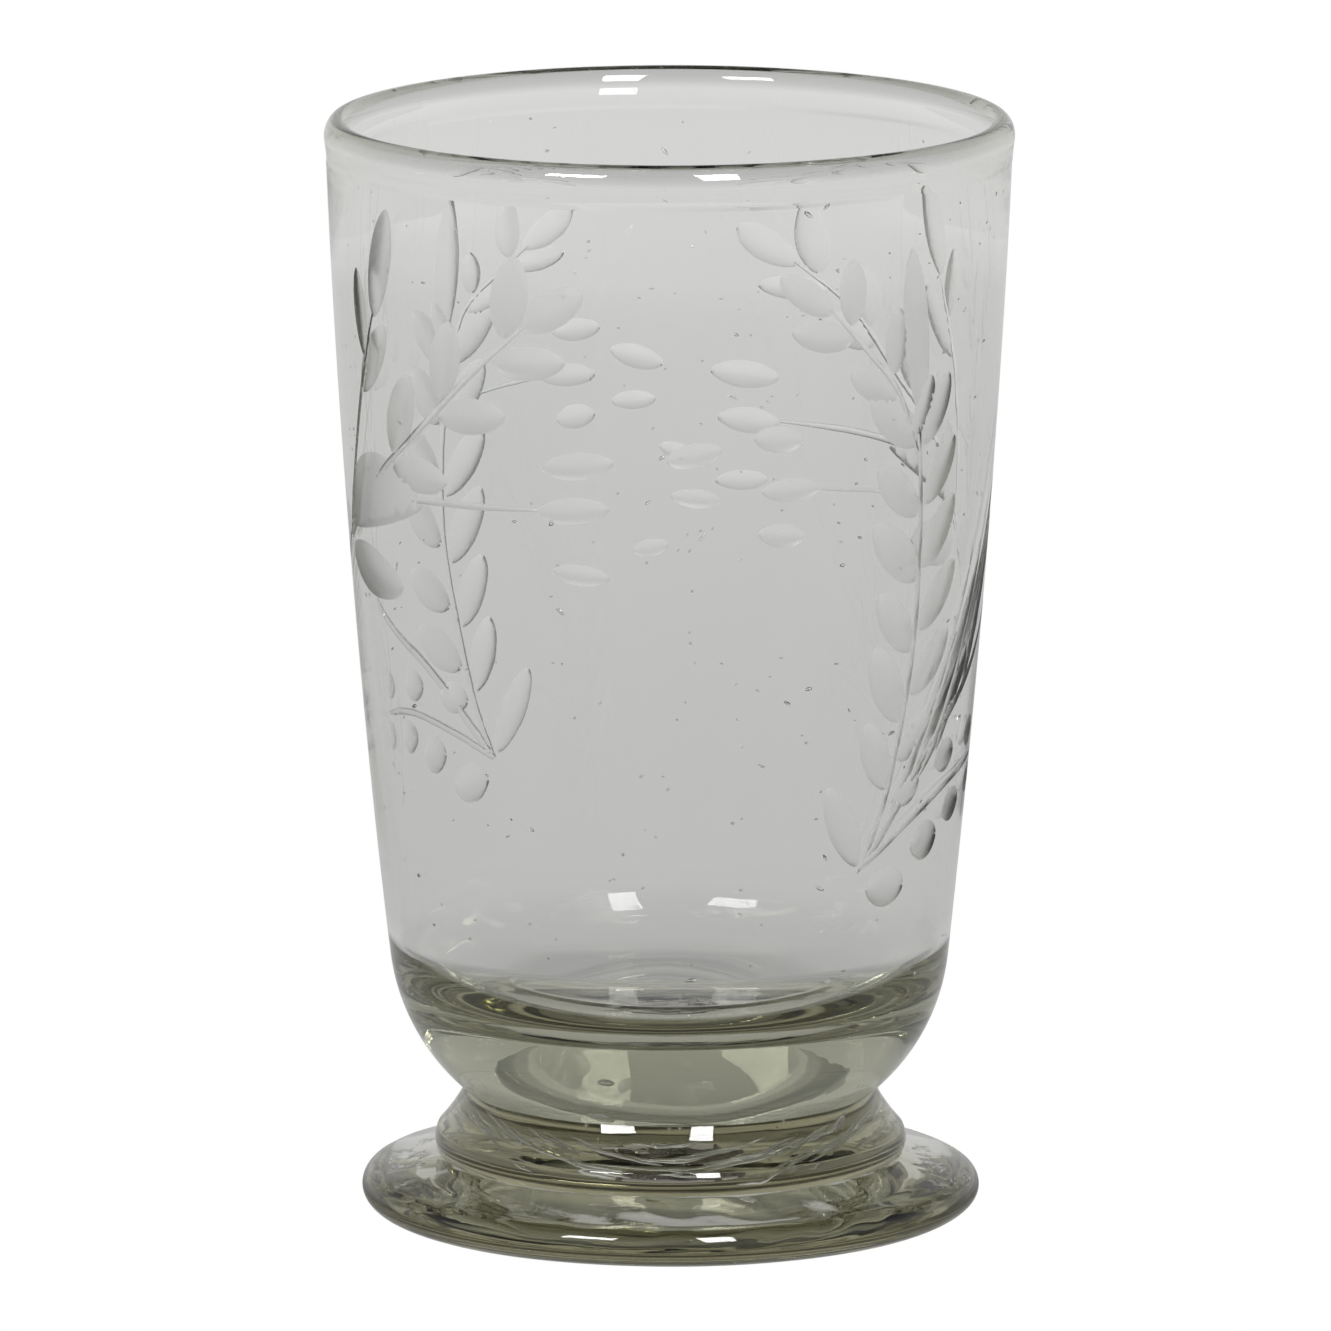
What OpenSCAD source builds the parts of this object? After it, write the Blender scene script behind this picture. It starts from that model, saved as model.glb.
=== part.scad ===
/* [Overall] */
// Height from the table to the top of the mouth bead
glass_h = 150; // [140:1:170]
// Outer radius of the bead round the mouth
mouth_r = 46.5; // [46:0.1:48]
// Half the thickness of the mouth bead, measured level with the table
bead_t = 1.8; // [1.6:0.1:2.2]
// Half the height of the mouth bead's oval section
bead_h = 2.6; // [2:0.1:3.2]

/* [Bowl] */
// Height where the tapering wall turns into the rounded shoulder
shoulder_z = 35.5; // [34:0.5:38]
// Outer radius of the wall at that height
shoulder_r = 37.8; // [37:0.1:39]
// Radius of the rounded shoulder between the wall and the neck
shoulder_round = 28; // [26:0.5:30]
// Flare of the wall just above the shoulder, in millimetres of radius for each of height
wall_flare = 0.115; // [0.1:0.005:0.125]
// Thickness of the wall
wall_t = 2.1; // [1.8:0.1:2.6]
// Height of the inner floor above the table
floor_z = 29.2; // [26:0.1:30]
// Radius of the rounded corner between the inner floor and the wall
floor_round = 10.5; // [8:0.5:13]
// Radius of the low round ridge that the shaping tool left on the inner floor
ridge_r = 22.5; // [18:0.5:23]
// Height of that ridge
ridge_h = 0.5; // [0.1:0.05:0.5]

/* [Collar] */
// Radius of the neck, where the bowl meets the collar
neck_r = 27.8; // [27:0.1:28.5]
// Largest radius of the collar, at its rolled lower edge
collar_r = 32; // [31:0.1:33]
// Radius of the collar's face on the foot
collar_seat_r = 31.5; // [30.5:0.1:31.5]
// Height of the collar's rolled edge above the foot
collar_roll = 3.2; // [2.6:0.1:3.6]

/* [Foot] */
// Largest radius of the foot
foot_r = 41.8; // [40:0.1:44]
// Height of the joint between the collar and the foot
foot_top_z = 8.3; // [8:0.1:9]
// Height of the foot's upper face where its rounded edge begins
foot_edge_z = 6.2; // [5.5:0.1:6.8]
// Height of the foot's widest line above the table
foot_wide_z = 3.5; // [3:0.1:4]
// Width of the edge's upper rounding
edge_top_w = 2.8; // [2:0.1:3.4]
// Outer radius of the ground ring that touches the table
rest_outer_r = 36.4; // [35.6:0.1:37]
// Inner radius of that ring
rest_inner_r = 33.6; // [32:0.1:34]
// Height of the shallow dome under the foot
dome_h = 3; // [2:0.1:3.6]

/* [Pontil mark] */
// Radius of the rough knob under the foot
pontil_r = 8; // [6:0.5:9]
// Height of that knob below the dome
pontil_h = 1.4; // [0.8:0.1:1.8]
// Number of broken lobes round its edge
pontil_lobes = 9; // [5:1:13]

/* [Hidden] */
$fn = 96;
GLASS = [0.78, 0.80, 0.76, 0.45];
THICK_GLASS = [0.62, 0.65, 0.56, 0.6];

// Straight stretches of an outline that curve slightly, and arcs, get this many steps
steps = 14;

// Centre of the mouth bead's oval section, and the angles between which it shows
bead_cr = mouth_r - bead_t;
bead_cz = glass_h - bead_h;
bead_from = -20;
bead_to = 200;

// The bead stands out this far beyond the wall under it
bead_step = 0.3;

// The wall's flare fades on the way up, so that it ends just inside the bead
wall_top_z = bead_cz - bead_h;
wall_top_r = mouth_r - bead_step;
wall_rise = wall_top_z - shoulder_z;
wall_fade = (wall_flare * wall_rise + shoulder_r - wall_top_r) / pow(wall_rise, 2);

// Centre of the shoulder's arc, tangent to the wall, and the angle at which it reaches the neck
wall_lean = atan(wall_flare);
round_cr = shoulder_r - shoulder_round * cos(wall_lean);
round_cz = shoulder_z + shoulder_round * sin(wall_lean);
neck_angle = acos((neck_r - round_cr) / shoulder_round);
neck_z = round_cz - shoulder_round * sin(neck_angle);

// Centre of the inner corner's arc, and the angle at which it meets the level floor
corner_cz = floor_z + floor_round;
corner_cr = wall_r(corner_cz) - wall_t - floor_round;
corner_end = -86;

// Half width of the ridge on the inner floor, and the distance between points along the floor
ridge_w = 0.8;
floor_step = 0.6;

// The collar's flare ends and its rolled edge begins at this height and radius
roll_bulge = 0.4;
roll_z = foot_top_z + collar_roll;
roll_r = collar_r - roll_bulge;

// Share of the flare that is a straight cone; the rest widens towards the roll
flare_straight = 0.65;

// Angles where the foot's upper rounding starts and its lower rounding takes over
edge_from = 80;
edge_to = -6;

// Radius of a broken lobe round the pontil mark, and how much of it the disc covers
lobe_r = 1.6;
lobe_cover = 0.7;

// Points along an oval arc in the radius and height plane, from one angle to another
function arc(cr, cz, rr, rz, from, to, n = steps) =
    [for (i = [0:n]) let (a = from + (to - from) * i / n) [cr + rr * cos(a), cz + rz * sin(a)]];

// Outer radius of the wall at a height above the shoulder
function wall_r(z) =
    shoulder_r + wall_flare * (z - shoulder_z) - wall_fade * pow(z - shoulder_z, 2);

// Points up or down the wall between two heights, set in by a thickness
function wall(from, to, inset) =
    [for (i = [1:steps]) let (z = from + (to - from) * i / steps) [wall_r(z) - inset, z]];

// Height of the inner floor at a radius: level, with one low round ridge
function floor_at(r) = floor_z + ridge_h * exp(-pow((r - ridge_r) / ridge_w, 2));

// Height of the dome under the foot at a radius
function dome_at(r) = dome_h * (1 - pow(r / rest_inner_r, 2));

// The cup: shoulder, outer wall, mouth bead, inner wall, inner corner and floor
module bowl() {
    inner_floor = [for (r = [corner_cr:-floor_step:0]) [r, floor_at(r)]];
    color(GLASS)
    rotate_extrude()
    polygon(concat(
        [[0, neck_z]],
        arc(round_cr, round_cz, shoulder_round, shoulder_round, -neck_angle, -wall_lean),
        wall(shoulder_z, wall_top_z, 0),
        arc(bead_cr, bead_cz, bead_t, bead_h, bead_from, bead_to),
        wall(wall_top_z, corner_cz, wall_t),
        arc(corner_cr, corner_cz, floor_round, floor_round, 0, corner_end),
        inner_floor,
        [[0, floor_z]]
    ));
}

// The pad between cup and foot: flat faces, a flaring side and a rolled lower edge
module collar() {
    flare = [for (i = [0:steps]) let (t = i / steps)
        [neck_r + (roll_r - neck_r) * (flare_straight * t + (1 - flare_straight) * t * t),
         neck_z + (roll_z - neck_z) * t]];
    roll = [for (i = [1:steps]) let (t = i / steps)
        [roll_r + roll_bulge * sin(180 * t) + (collar_seat_r - roll_r) * t,
         roll_z - collar_roll * t]];
    color(THICK_GLASS)
    rotate_extrude()
    polygon(concat([[0, neck_z]], flare, roll, [[0, foot_top_z]]));
}

// The disc: gently sloping upper face, rounded edge, flat resting ring and a domed underside
module foot() {
    edge_top_r = foot_r - edge_top_w;
    dome = [for (i = [0:steps]) let (r = rest_inner_r * (1 - i / steps)) [r, dome_at(r)]];
    color(THICK_GLASS)
    rotate_extrude()
    polygon(concat(
        [[0, foot_top_z], [collar_seat_r, foot_top_z]],
        arc(edge_top_r, foot_wide_z, edge_top_w, foot_edge_z - foot_wide_z, edge_from, 0),
        arc(rest_outer_r, foot_wide_z, foot_r - rest_outer_r, foot_wide_z, edge_to, -90),
        dome
    ));
}

// The broken knob that the punty left under the dome: a low disc with a lobed edge
module pontil_mark() {
    color(THICK_GLASS)
    difference() {
        translate([0, 0, dome_h - pontil_h])
        union() {
            cylinder(h = pontil_h, r = pontil_r - lobe_r * lobe_cover);
            for (i = [0:pontil_lobes - 1])
                rotate(i * 360 / pontil_lobes)
                translate([pontil_r - lobe_r, 0, 0])
                cylinder(h = pontil_h, r = lobe_r);
        }
        foot();
    }
}

bowl();
collar();
foot();
pontil_mark();
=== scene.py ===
import math

import bmesh
import bpy
import numpy as np
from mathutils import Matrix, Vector
from mathutils.geometry import delaunay_2d_cdt


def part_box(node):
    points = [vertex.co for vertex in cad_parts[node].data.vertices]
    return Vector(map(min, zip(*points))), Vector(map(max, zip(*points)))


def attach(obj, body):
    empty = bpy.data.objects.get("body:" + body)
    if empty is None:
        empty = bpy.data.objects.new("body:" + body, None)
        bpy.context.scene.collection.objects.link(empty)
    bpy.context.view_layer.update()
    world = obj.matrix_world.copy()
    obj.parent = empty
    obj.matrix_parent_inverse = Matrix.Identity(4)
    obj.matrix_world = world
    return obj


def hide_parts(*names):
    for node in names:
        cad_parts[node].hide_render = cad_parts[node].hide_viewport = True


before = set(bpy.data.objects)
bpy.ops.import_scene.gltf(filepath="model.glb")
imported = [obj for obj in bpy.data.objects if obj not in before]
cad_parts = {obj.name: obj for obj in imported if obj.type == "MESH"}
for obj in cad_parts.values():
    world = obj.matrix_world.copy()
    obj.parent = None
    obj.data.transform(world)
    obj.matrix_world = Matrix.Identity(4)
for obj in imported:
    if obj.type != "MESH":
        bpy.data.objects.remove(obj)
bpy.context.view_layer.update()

# ---------------------------------------------------------------------------
# Sizes. The frame's boxes give the main ones. Lengths are in metres, except where
# a comment says millimetres.
# ---------------------------------------------------------------------------
MM = 0.001
BOWL_LO, BOWL_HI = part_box("bowl")
COLLAR_LO, COLLAR_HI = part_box("collar")
FOOT_LO, FOOT_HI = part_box("foot")
PONTIL_LO, PONTIL_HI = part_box("pontil_mark")

GLASS_H = BOWL_HI.z
MOUTH_R = (BOWL_HI.x - BOWL_LO.x) / 2
NECK_Z = BOWL_LO.z
FOOT_TOP_Z = FOOT_HI.z
FOOT_R = (FOOT_HI.x - FOOT_LO.x) / 2
COLLAR_R = (COLLAR_HI.x - COLLAR_LO.x) / 2
PONTIL_R = (PONTIL_HI.x - PONTIL_LO.x) / 2

# Mouth bead: half its thickness and height, and its step out from the wall
BEAD_T, BEAD_H, BEAD_STEP = 1.8 * MM, 2.6 * MM, 0.3 * MM
# Shoulder: height and radius where the wall starts, and its rounding
SHOULDER_Z, SHOULDER_R, SHOULDER_ROUND = 35.5 * MM, 37.8 * MM, 28 * MM
# Wall: its slope at the shoulder, and its thickness
WALL_FLARE, WALL_T = 0.115, 2.1 * MM
# Inside floor: its height, the rounding of its corner, and the ring pressed into it
FLOOR_Z, FLOOR_ROUND = 29.2 * MM, 10.5 * MM
RIDGE_R, RIDGE_H, RIDGE_W = 22.5 * MM, 0.5 * MM, 0.8 * MM
# Collar: radius at the neck and on the foot, and the height of its rolled edge
NECK_R, COLLAR_SEAT_R, COLLAR_ROLL = 27.8 * MM, 31.5 * MM, 3.2 * MM
# The collar's flare is mostly straight, and its rolled edge stands out a little
COLLAR_STRAIGHT, COLLAR_BULGE = 0.65, 0.4 * MM
# Foot: heights of its upper edge and of its widest line, and the width of the edge's upper round
FOOT_EDGE_Z, FOOT_WIDE_Z, EDGE_TOP_W = 6.2 * MM, 3.5 * MM, 2.8 * MM
# Standing ring: its two radii, and the height of the hollow inside it
REST_OUTER_R, REST_INNER_R, DOME_H = 36.4 * MM, 33.6 * MM, 3 * MM
# The pieces are fused. A hairline between their closed meshes keeps them apart.
SEAM_GAP = 0.01 * MM

BEAD_CR, BEAD_CZ = MOUTH_R - BEAD_T, GLASS_H - BEAD_H
WALL_TOP_Z = BEAD_CZ - BEAD_H
WALL_TOP_R = MOUTH_R - BEAD_STEP
# The inside of the bead thins down to the wall as far as this height
BLEND_Z = GLASS_H - 22 * MM
# The wall's height, and how fast its slope fades, so that its top meets the bead
WALL_RISE = WALL_TOP_Z - SHOULDER_Z
WALL_FADE = (WALL_FLARE * WALL_RISE + SHOULDER_R - WALL_TOP_R) / WALL_RISE**2

# Columns of every revolved mesh, and the angle of its first one from the front, -Y.
COLUMNS = 240
SEAM_DEG = 13.5
COLUMN_ANGLES = math.radians(SEAM_DEG) + np.linspace(0, 2 * np.pi, COLUMNS, endpoint=False)


# ---------------------------------------------------------------------------
# Outlines, as rows of radius and height
# ---------------------------------------------------------------------------
def wall_r(z):
    """Outer radius of the tapering wall at a height above the shoulder."""
    rise = z - SHOULDER_Z
    return SHOULDER_R + WALL_FLARE * rise - WALL_FADE * rise**2


def arc(cr, cz, rr, rz, start, end, steps):
    """Points along an oval arc; the angles are in degrees from the outward direction."""
    a = np.radians(np.linspace(start, end, steps + 1))
    return np.stack([cr + rr * np.cos(a), cz + rz * np.sin(a)], axis=1)


def line(start, end, steps):
    """Points on a straight line, without the first one."""
    t = np.linspace(0, 1, steps + 1)[1:, None]
    return np.array(start) * (1 - t) + np.array(end) * t


def wall(z0, z1, inset, steps):
    """Points up or down the wall, set in by a thickness, without the first one."""
    z = np.linspace(z0, z1, steps + 1)[1:]
    return np.stack([wall_r(z) - inset, z], axis=1)


def bowl_outside(band_z):
    """Base and shoulder, from the axis to where the engraved band starts."""
    lean = math.atan(WALL_FLARE)
    cr = SHOULDER_R - SHOULDER_ROUND * math.cos(lean)
    cz = SHOULDER_Z + SHOULDER_ROUND * math.sin(lean)
    neck = math.degrees(math.acos((NECK_R - cr) / SHOULDER_ROUND))
    base = line((0, NECK_Z), (NECK_R, NECK_Z), 8)[:-1]
    shoulder = arc(cr, cz, SHOULDER_ROUND, SHOULDER_ROUND, -neck, -math.degrees(lean), 30)
    return np.concatenate([[(0, NECK_Z)], base, shoulder, wall(SHOULDER_Z, band_z, 0, 4)])


def bead_blend():
    """Inside of the bead, thinning smoothly down to the wall, without the first point."""
    t = np.linspace(0, 1, 17)[1:]
    z = BEAD_CZ + (BLEND_Z - BEAD_CZ) * t
    bead_r = BEAD_CR - BEAD_T
    wall_side = np.where(z < WALL_TOP_Z, wall_r(z), WALL_TOP_R) - WALL_T
    ease = t * t * (3 - 2 * t)
    return np.stack([bead_r + (wall_side - bead_r) * ease, z], axis=1)


def bowl_inside(band_z):
    """From the engraved band's top over the mouth bead and down to the floor's middle."""
    corner_cz = FLOOR_Z + FLOOR_ROUND
    corner_cr = wall_r(corner_cz) - WALL_T - FLOOR_ROUND
    r = np.linspace(corner_cr, 0, 70)
    floor = np.stack([r, FLOOR_Z + RIDGE_H * np.exp(-(((r - RIDGE_R) / RIDGE_W) ** 2))], axis=1)
    return np.concatenate([
        [(wall_r(band_z), band_z)],
        wall(band_z, WALL_TOP_Z, 0, 2),
        arc(BEAD_CR, BEAD_CZ, BEAD_T, BEAD_H, -20, 180, 32),
        bead_blend(),
        wall(BLEND_Z, corner_cz, WALL_T, 40),
        arc(corner_cr, corner_cz, FLOOR_ROUND, FLOOR_ROUND, 0, -86, 26)[1:],
        floor,
    ])


def collar_outline():
    top, low = NECK_Z - SEAM_GAP, FOOT_TOP_Z + SEAM_GAP
    roll_z = FOOT_TOP_Z + COLLAR_ROLL
    flare_r = COLLAR_R - COLLAR_BULGE
    t = np.linspace(0, 1, 60)
    spread = COLLAR_STRAIGHT * t + (1 - COLLAR_STRAIGHT) * t * t
    flare = np.stack([NECK_R + (flare_r - NECK_R) * spread, top + (roll_z - top) * t], axis=1)
    t = np.linspace(0, 1, 18)[1:]
    roll_r = flare_r + COLLAR_BULGE * np.sin(np.pi * t) + (COLLAR_SEAT_R - flare_r) * t
    roll = np.stack([roll_r, roll_z + (low - roll_z) * t], axis=1)
    top_face = line((0, top), (NECK_R, top), 8)[:-1]
    low_face = line((COLLAR_SEAT_R, low), (0, low), 8)
    return np.concatenate([[(0, top)], top_face, flare, roll, low_face])


def dome_z(r):
    """Height of the hollow under the foot."""
    return DOME_H * (1 - (r / REST_INNER_R) ** 2)


def foot_outline():
    edge_r = FOOT_R - EDGE_TOP_W
    top_edge = arc(edge_r, FOOT_WIDE_Z, EDGE_TOP_W, FOOT_EDGE_Z - FOOT_WIDE_Z, 80, 0, 16)
    low_edge = arc(REST_OUTER_R, FOOT_WIDE_Z, FOOT_R - REST_OUTER_R, FOOT_WIDE_Z, 0, -90, 20)[1:]
    r = np.linspace(REST_INNER_R, 0, 40)
    dome = np.stack([r, dome_z(r)], axis=1)
    seat = (COLLAR_SEAT_R, FOOT_TOP_Z)
    return np.concatenate([
        [(0, FOOT_TOP_Z)], line((0, FOOT_TOP_Z), seat, 8), line(seat, top_edge[0], 12)[:-1],
        top_edge, low_edge, dome,
    ])


# ---------------------------------------------------------------------------
# Hand-made unevenness: one radial wave for all pieces, so that they still meet
# ---------------------------------------------------------------------------
# Random angles are drawn up to this, in radians
FULL_TURN = 6.28


def wave(angle, z, terms, seed):
    """Sum of sine waves round and up the glass; a term is (amplitude, turns, waves per metre)."""
    rng = np.random.default_rng(seed)
    total = np.zeros(np.broadcast(angle, z).shape)
    for amplitude, turns, per_metre in terms:
        phase = 2 * np.pi * per_metre * z + rng.uniform(0, FULL_TURN)
        total = total + amplitude * np.sin(turns * angle + phase)
    return total


BODY_WAVES = ((0.16 * MM, 2, 3), (0.10 * MM, 3, -5), (0.06 * MM, 5, 9), (0.03 * MM, 9, -14))
INNER_WAVES = ((0.09 * MM, 3, 12), (0.03 * MM, 6, -20), (0.006 * MM, 11, 31))
FLOOR_SWIRLS = ((0.02 * MM, 2, 110), (0.008 * MM, 5, -200))
# The waves fade out from this radius to the axis
CALM_R = 20 * MM


def polar(p):
    return np.hypot(p[:, 0], p[:, 1]), np.arctan2(p[:, 0], -p[:, 1])


def pushed(p, shift):
    """Points moved outward by a shift, which fades towards the axis."""
    r = polar(p)[0]
    scale = 1 + shift * np.minimum(r / CALM_R, 1) / np.maximum(r, 1e-9)
    return np.column_stack([p[:, :2] * scale[:, None], p[:, 2]])


def uneven(points):
    """Body: blown glass is never quite round."""
    p = np.array(points, float)
    return pushed(p, wave(polar(p)[1], p[:, 2], BODY_WAVES, 4))


def uneven_inside(points):
    """Inner wall and floor: also wavy, and the floor has faint swirls from the shaping tool."""
    p = uneven(points)
    r, angle = polar(p)
    p = pushed(p, wave(angle, p[:, 2], INNER_WAVES, 9))
    flat = np.clip((FLOOR_Z + 2 * MM - p[:, 2]) / MM, 0, 1) * np.clip(r / (4 * MM), 0, 1)
    p[:, 2] += wave(angle, r, FLOOR_SWIRLS, 31) * flat
    return p


# Folds that the tool left round the collar: height, spacing, sag at the front, and the waves
# that they wander and swell by
FOLD_H, FOLD_STEP, FOLD_SAG = 0.012 * MM, 2.3 * MM, 6.0
FOLD_WANDER = ((0.9, 3, 25), (0.7, 7, -60), (0.4, 13, 90))
FOLD_SWELL = ((0.6, 4, 160), (0.5, 9, -230))


def tooled(points):
    """Collar: slanting folds, which die out towards its upper and lower edges."""
    p = uneven(points)
    r, angle = polar(p)
    up = np.clip((p[:, 2] - FOOT_TOP_Z) / (NECK_Z - FOOT_TOP_Z), 0, 1)
    wander = wave(angle, p[:, 2], FOLD_WANDER, 12)
    phase = 2 * np.pi * p[:, 2] / FOLD_STEP + FOLD_SAG * np.cos(2 * angle) + wander
    strength = 0.55 + 0.45 * wave(angle, p[:, 2], FOLD_SWELL, 14)
    fold = np.sin(phase) + 0.3 * np.sin(2 * phase + 2 * wander)
    side = np.clip((r - 0.985 * NECK_R) / (0.01 * NECK_R), 0, 1) * np.sin(np.pi * up) ** 0.7
    return pushed(p, FOLD_H * strength * fold * side)


# Wrinkles of the foot: length and height in millimetres, and their share on its upper face
WRINKLES = ((11, 0.03), (7, 0.014), (4.6, 0.006))
TOP_WRINKLES = 0.3


def pressed(points):
    """Foot: wrinkles of the pressing board on both faces, none on the joints and the ground ring."""
    p = uneven(points)
    r, _ = polar(p)
    rng = np.random.default_rng(40)
    wrinkle = np.zeros(len(p))
    for length, height in WRINKLES:
        for _ in range(3):
            turn, phase = rng.uniform(0, FULL_TURN, 2)
            along = p[:, 0] * math.cos(turn) + p[:, 1] * math.sin(turn)
            wrinkle += height * MM * np.sin(2 * np.pi * along / (length * MM) + phase)
    under = np.clip((r - 9 * MM) / (3 * MM), 0, 1) * np.clip((REST_INNER_R - r) / (3 * MM), 0, 1)
    above = np.clip((r - COLLAR_SEAT_R) / (3 * MM), 0, 1)
    above *= np.clip((FOOT_R + 0.6 * MM - r) / (2 * MM), 0, 1)
    p[:, 2] += wrinkle * np.where(p[:, 2] > FOOT_WIDE_Z, TOP_WRINKLES * above, under)
    return p


# ---------------------------------------------------------------------------
# The wheel-cut spray. Its table is in millimetres: u round the wall to the right
# and v up it, from the root where the stems meet. It is cut twice, half a turn apart.
# ---------------------------------------------------------------------------
CUT_R = 42.5
ROOT_Z = 53
# Each spray's root: angle from the front, lift and height scale
SPRAYS = ((40, 0, 1), (218, 3.5, 0.96))
# The band's lower and upper ends, and its rows of points between the cuts
BAND, BAND_ROWS = (-12, 91), 56
# Stems: points that the wheel passed through, width and depth
STEMS = {
    "main": ([(0, 0), (4.2, 11), (7.2, 28), (7.4, 44), (6.2, 61)], 0.95, 0.3),
    "crown": ([(6.9, 54), (2.5, 64), (-3, 70.5), (-9, 77)], 0.7, 0.22),
    "left_twig": ([(7.2, 49.5), (0, 51.6), (-10.4, 53)], 0.5, 0.16),
    "link": ([(0, 0), (13, 14.5), (28, 25), (46, 40)], 1.3, 0.34),
    "tall": ([(46, 40), (52, 52), (60.5, 73)], 0.9, 0.28),
    "bough": ([(46, 40), (56, 47.5), (69, 57.5), (80, 68), (87, 74.5)], 0.9, 0.28),
    "level": ([(46, 39), (55, 44.6), (66, 47.6), (88, 48.6)], 0.95, 0.26),
    "berries": ([(0, 0), (9, 5), (20, 9), (33, 11)], 1.0, 0.3),
}
# Rows of leaves: stem, first and last place along it, number, side, length, width, lean
LEAF_ROWS = (
    ("main", 0.17, 0.93, 6, 1, 11.4, 5.4, 40),
    ("main", 0.24, 0.93, 6, -1, 11.4, 5.0, 40),
    ("crown", 0.40, 0.80, 2, 1, 8.6, 4.2, 30),
    ("crown", 0.15, 0.85, 3, -1, 8.6, 3.8, 42),
    ("bough", 0.42, 0.92, 3, 1, 11.5, 5.2, 34),
    ("bough", 0.40, 0.86, 3, -1, 10.6, 4.9, 36),
    ("tall", 0.80, 0.80, 1, 1, 12.5, 3.8, 22),
    ("tall", 0.66, 0.66, 1, -1, 12.5, 4.8, 16),
)
# Single leaves, ovals and long blades: base, tip, width, depth
SINGLES = (
    ((6.2, 61), (3.2, 84.5), 4.6, 0.42),
    ((-8.5, 76.5), (-15.6, 82), 4.0, 0.36),
    ((-0.8, 0.5), (-6.8, 12), 4.8, 0.38),
    ((60.5, 72.5), (64.8, 88.5), 4.8, 0.5),
    ((86.5, 74), (94.5, 79.8), 5.0, 0.4),
    ((88, 48.4), (97.4, 49.2), 3.7, 0.32),
    ((88.6, 54.6), (98.2, 55.6), 3.8, 0.34),
    ((89.6, 40.2), (97.6, 39.6), 2.9, 0.28),
    ((100.6, 43.4), (105.4, 44.6), 2.4, 0.24),
    ((104.6, 56.2), (111.9, 57.8), 3.4, 0.32),
    ((105.6, 51.4), (112, 50.8), 2.6, 0.26),
    ((-19, 60.4), (-12.2, 59.6), 3.7, 0.34),
    ((-18, 53), (-10, 53.2), 3.2, 0.3),
    ((-18, 47.4), (-11.8, 46.6), 3.3, 0.3),
    ((1, -3.2), (9.4, -3.4), 5.6, 0.42),
    ((10.4, 1.4), (17.6, 2.4), 5.4, 0.42),
    ((19, 5), (25.4, 6), 4.6, 0.4),
    ((29, 7), (34.6, 8), 4.0, 0.36),
    ((5, 8.6), (11, 11), 4.4, 0.38),
    ((15.4, 12.4), (21.4, 13.4), 4.6, 0.4),
    ((26.4, 13.6), (31.6, 15.4), 4.0, 0.36),
)
# Broad leaves with one full side and one flat side: base, tip, left and right widths, depth
BROAD = (
    ((47.5, 41.2), (69.5, 47), 8.6, 1.4, 0.5),
    ((46.5, 37.4), (64, 34.6), 3.2, 3.6, 0.36),
)
# Long grass-like blades of the first spray
BLADES = (
    ((5, 7), (19, 30), 2.4, 0.42),
    ((8, 9), (27, 40), 3.2, 0.5),
    ((11, 11), (32, 36), 2.6, 0.42),
    ((15, 14), (36, 50), 3.4, 0.5),
    ((22, 20), (43, 56), 3.0, 0.45),
)


# How far a cut slips by hand, how much a leaf's lean varies, and the leaves' sizes and depths.
# A leaf in a row starts this far off its stem's middle: square to the stem, and along the leaf.
HAND_SLIP, LEAN_SLIP = 0.15, 4
LEAF_SIZES, LEAF_DEPTHS = (0.92, 1.06), (0.38, 0.5)
OFF_STEM, OFF_ALONG = 0.5, 0.3


def smooth_path(points, step=1.2):
    """A Catmull-Rom curve through the points, sampled about every step."""
    p = [np.array(q, float) for q in points]
    p = [2 * p[0] - p[1]] + p + [2 * p[-1] - p[-2]]
    out = []
    for a, b, c, d in zip(p[:-3], p[1:-2], p[2:-1], p[3:]):
        count = max(2, int(np.linalg.norm(c - b) / step))
        for t in np.arange(count) / count:
            bend = (2 * a - 5 * b + 4 * c - d) * t**2
            twist = (3 * b - a - 3 * c + d) * t**3
            out.append(0.5 * (2 * b + (c - a) * t + bend + twist))
    return np.array(out + [p[-2]])


class Leaf:
    """A lens-shaped cut with slightly pointed ends, deepest a little below its middle."""

    RIM = 1.25
    SKEW = 0.5
    # Rings of points inside the outline, as size and number, and how far out a depth is taken
    INNER_RINGS = ((0.82, 18), (0.58, 12), (0.3, 6))
    REACH = 1.3

    def __init__(self, base, tip, left, right, depth):
        base, tip = np.array(base, float), np.array(tip, float)
        self.centre = (base + tip) / 2
        self.half = np.linalg.norm(tip - base) / 2
        self.along = (tip - base) / (2 * self.half)
        self.across = np.array([-self.along[1], self.along[0]])
        self.left, self.right, self.depth_mm = left, right, depth
        self.low_side = -1 if self.across[1] > 0 else 1

    def ring(self, size, count):
        """Points round the leaf at a fraction of its size."""
        a = np.linspace(0, 2 * np.pi, count, endpoint=False)
        t, s = size * np.cos(a), size * np.sign(np.sin(a)) * np.abs(np.sin(a)) ** self.RIM
        width = np.where(s > 0, self.left, self.right)
        return self.centre + np.outer(t * self.half, self.along) + np.outer(s * width, self.across)

    def outline(self):
        return self.ring(1, 28)

    def inside(self):
        rings = [self.ring(size, count) for size, count in self.INNER_RINGS]
        return np.concatenate([*rings, self.centre[None]])

    def depth(self, p):
        q = p - self.centre
        t = q @ self.along / self.half
        side = q @ self.across
        s = side / np.where(side > 0, self.left, self.right)
        room = np.maximum(1 - t * t, 0.04) ** (self.RIM / 2)
        s = np.clip(s / room, -self.REACH, self.REACH)
        hollow = (1 - s * s) * (1 + self.SKEW * self.low_side * s) * room
        return np.where(np.abs(t) > 1.02, -1, self.depth_mm * hollow)


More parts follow.
